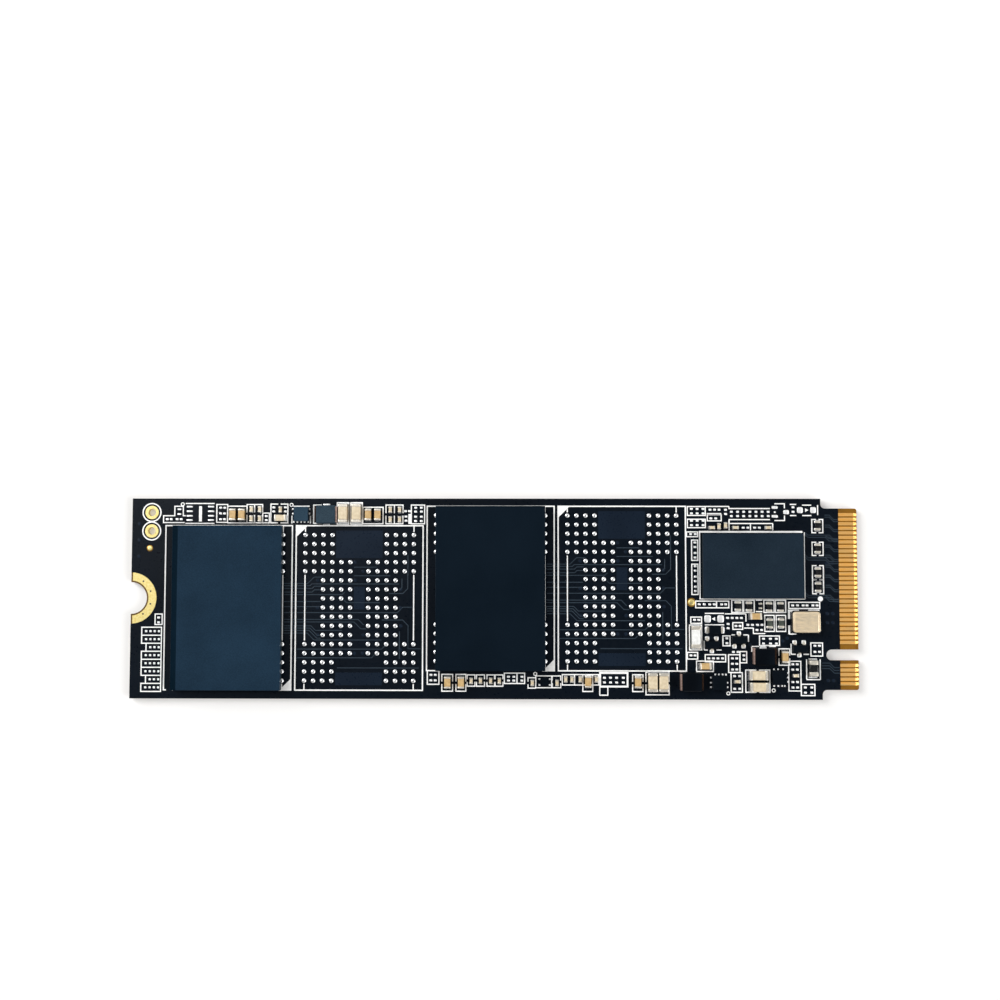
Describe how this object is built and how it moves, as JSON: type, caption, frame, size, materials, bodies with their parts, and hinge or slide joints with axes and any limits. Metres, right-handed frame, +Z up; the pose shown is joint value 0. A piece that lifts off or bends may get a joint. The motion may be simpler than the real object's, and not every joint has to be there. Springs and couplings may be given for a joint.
{
  "type": "m.2 solid-state drive",
  "caption": "Bare M.2 2280 solid-state drive card: dark board with flash and controller packages, empty flash sites, small chip parts, a gold edge connector and a mounting half hole.",
  "frame": {"origin": "middle of the card's underside", "axes": "+X along the card towards the edge connector, +Y across it, +Z up through the component face"},
  "size_m": [0.08, 0.022, 0.002],
  "materials": {
    "solder_mask": "satin dark navy solder mask over a glass-epoxy board",
    "gold_plating": "gold flash over nickel and copper",
    "solder": "bright reflowed tin solder",
    "slate_mould": "matte slate-blue moulding compound",
    "black_mould": "matte black moulding compound",
    "tan_ceramic": "sintered tan ceramic",
    "cream_ceramic": "sintered cream ceramic",
    "white_ceramic": "white ceramic",
    "dark_ceramic": "black glazed ceramic",
    "lid_metal": "satin champagne plated metal",
    "inductor_mould": "pressed metal powder with a dark coat",
    "copper_terminal": "dull coppery plated strip"
  },
  "bodies": {
    "root": {"bulk_capacitor_1": "cream_ceramic", "bulk_capacitor_2": "cream_ceramic", "bulk_capacitor_3": "cream_ceramic", "bulk_capacitor_4": "cream_ceramic", "bulk_capacitor_5": "cream_ceramic", "bulk_capacitor_6": "cream_ceramic", "bulk_capacitor_terminals": "solder", "circuit_board": "solder_mask", "controller_package": "black_mould", "crystal_base": "dark_ceramic", "crystal_lid": "lid_metal", "diode": "black_mould", "diode_leads": "solder", "edge_contacts_bottom": "gold_plating", "edge_contacts_top": "gold_plating", "ferrite_bead": "dark_ceramic", "ferrite_bead_terminals": "solder", "filter_capacitor_1": "tan_ceramic", "filter_capacitor_10": "tan_ceramic", "filter_capacitor_11": "tan_ceramic", "filter_capacitor_12": "tan_ceramic", "filter_capacitor_2": "tan_ceramic", "filter_capacitor_3": "tan_ceramic", "filter_capacitor_4": "tan_ceramic", "filter_capacitor_5": "tan_ceramic", "filter_capacitor_6": "tan_ceramic", "filter_capacitor_7": "tan_ceramic", "filter_capacitor_8": "tan_ceramic", "filter_capacitor_9": "tan_ceramic", "filter_capacitor_terminals": "solder", "flash_1_outer_balls": "solder", "flash_1_package": "slate_mould", "flash_2_outer_balls": "solder", "flash_2_package": "black_mould", "fuse": "white_ceramic", "fuse_terminals": "solder", "inductor_1_block": "inductor_mould", "inductor_2_block": "inductor_mould", "inductor_3_block": "inductor_mould", "inductor_terminals": "copper_terminal", "mounting_land_bottom": "gold_plating", "mounting_land_top": "gold_plating", "regulator_1": "black_mould", "regulator_2": "black_mould", "regulator_3": "black_mould", "resistor_terminals": "solder", "resistors": "dark_ceramic", "small_capacitor_terminals": "solder", "small_capacitors": "cream_ceramic", "spare_site_1_bumps": "solder", "spare_site_2_bumps": "solder", "test_hole_plating": "gold_plating", "test_lands_bottom": "gold_plating", "test_lands_top": "gold_plating", "transistor_1": "black_mould", "transistor_2": "black_mould", "transistor_3": "black_mould", "transistor_leads": "solder", "voltage_monitor": "slate_mould"}
  },
  "joints": []
}
